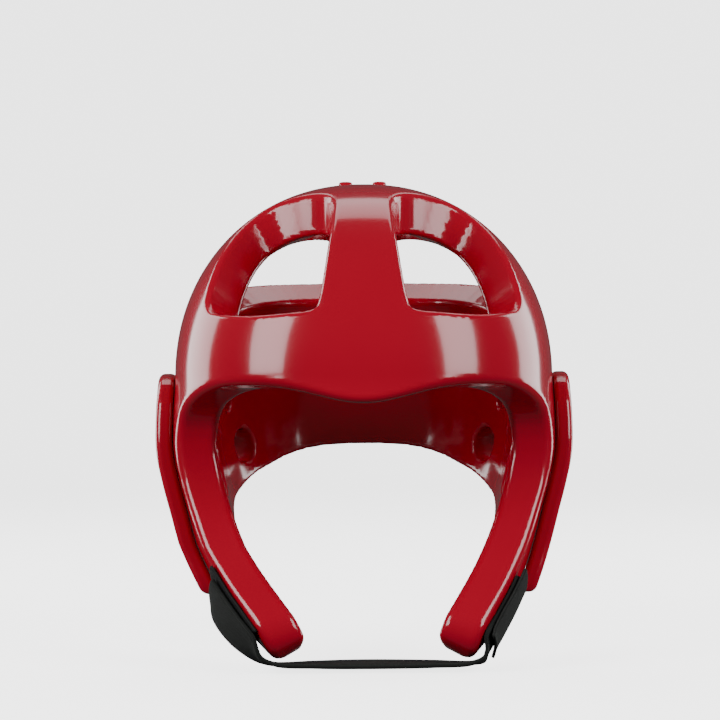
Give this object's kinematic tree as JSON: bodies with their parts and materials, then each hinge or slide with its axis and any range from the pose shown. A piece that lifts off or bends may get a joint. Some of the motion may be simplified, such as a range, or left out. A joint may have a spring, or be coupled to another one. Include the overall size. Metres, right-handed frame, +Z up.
{
  "type": "taekwondo headgear",
  "caption": "Padded open-face martial arts headgear with ear pads, crown openings and a chin strap closed by hook and loop.",
  "frame": {"origin": "inside of the crown, at the middle of the head's widest section, where the head carries the guard", "axes": "+Z up as worn, -Y the way the face looks, +X the wearer's left"},
  "size_m": [0.2274, 0.2369, 0.2609],
  "materials": {
    "foam_skin": "glossy dipped skin over closed-cell foam",
    "webbing": "matt woven webbing",
    "hook_loop": "matt loop pile"
  },
  "bodies": {
    "root": {"head_shell": "foam_skin", "ear_pad_left": "foam_skin", "ear_pad_right": "foam_skin", "chin_strap": "webbing", "strap_cover": "webbing", "arm_patch": "hook_loop"}
  },
  "joints": []
}
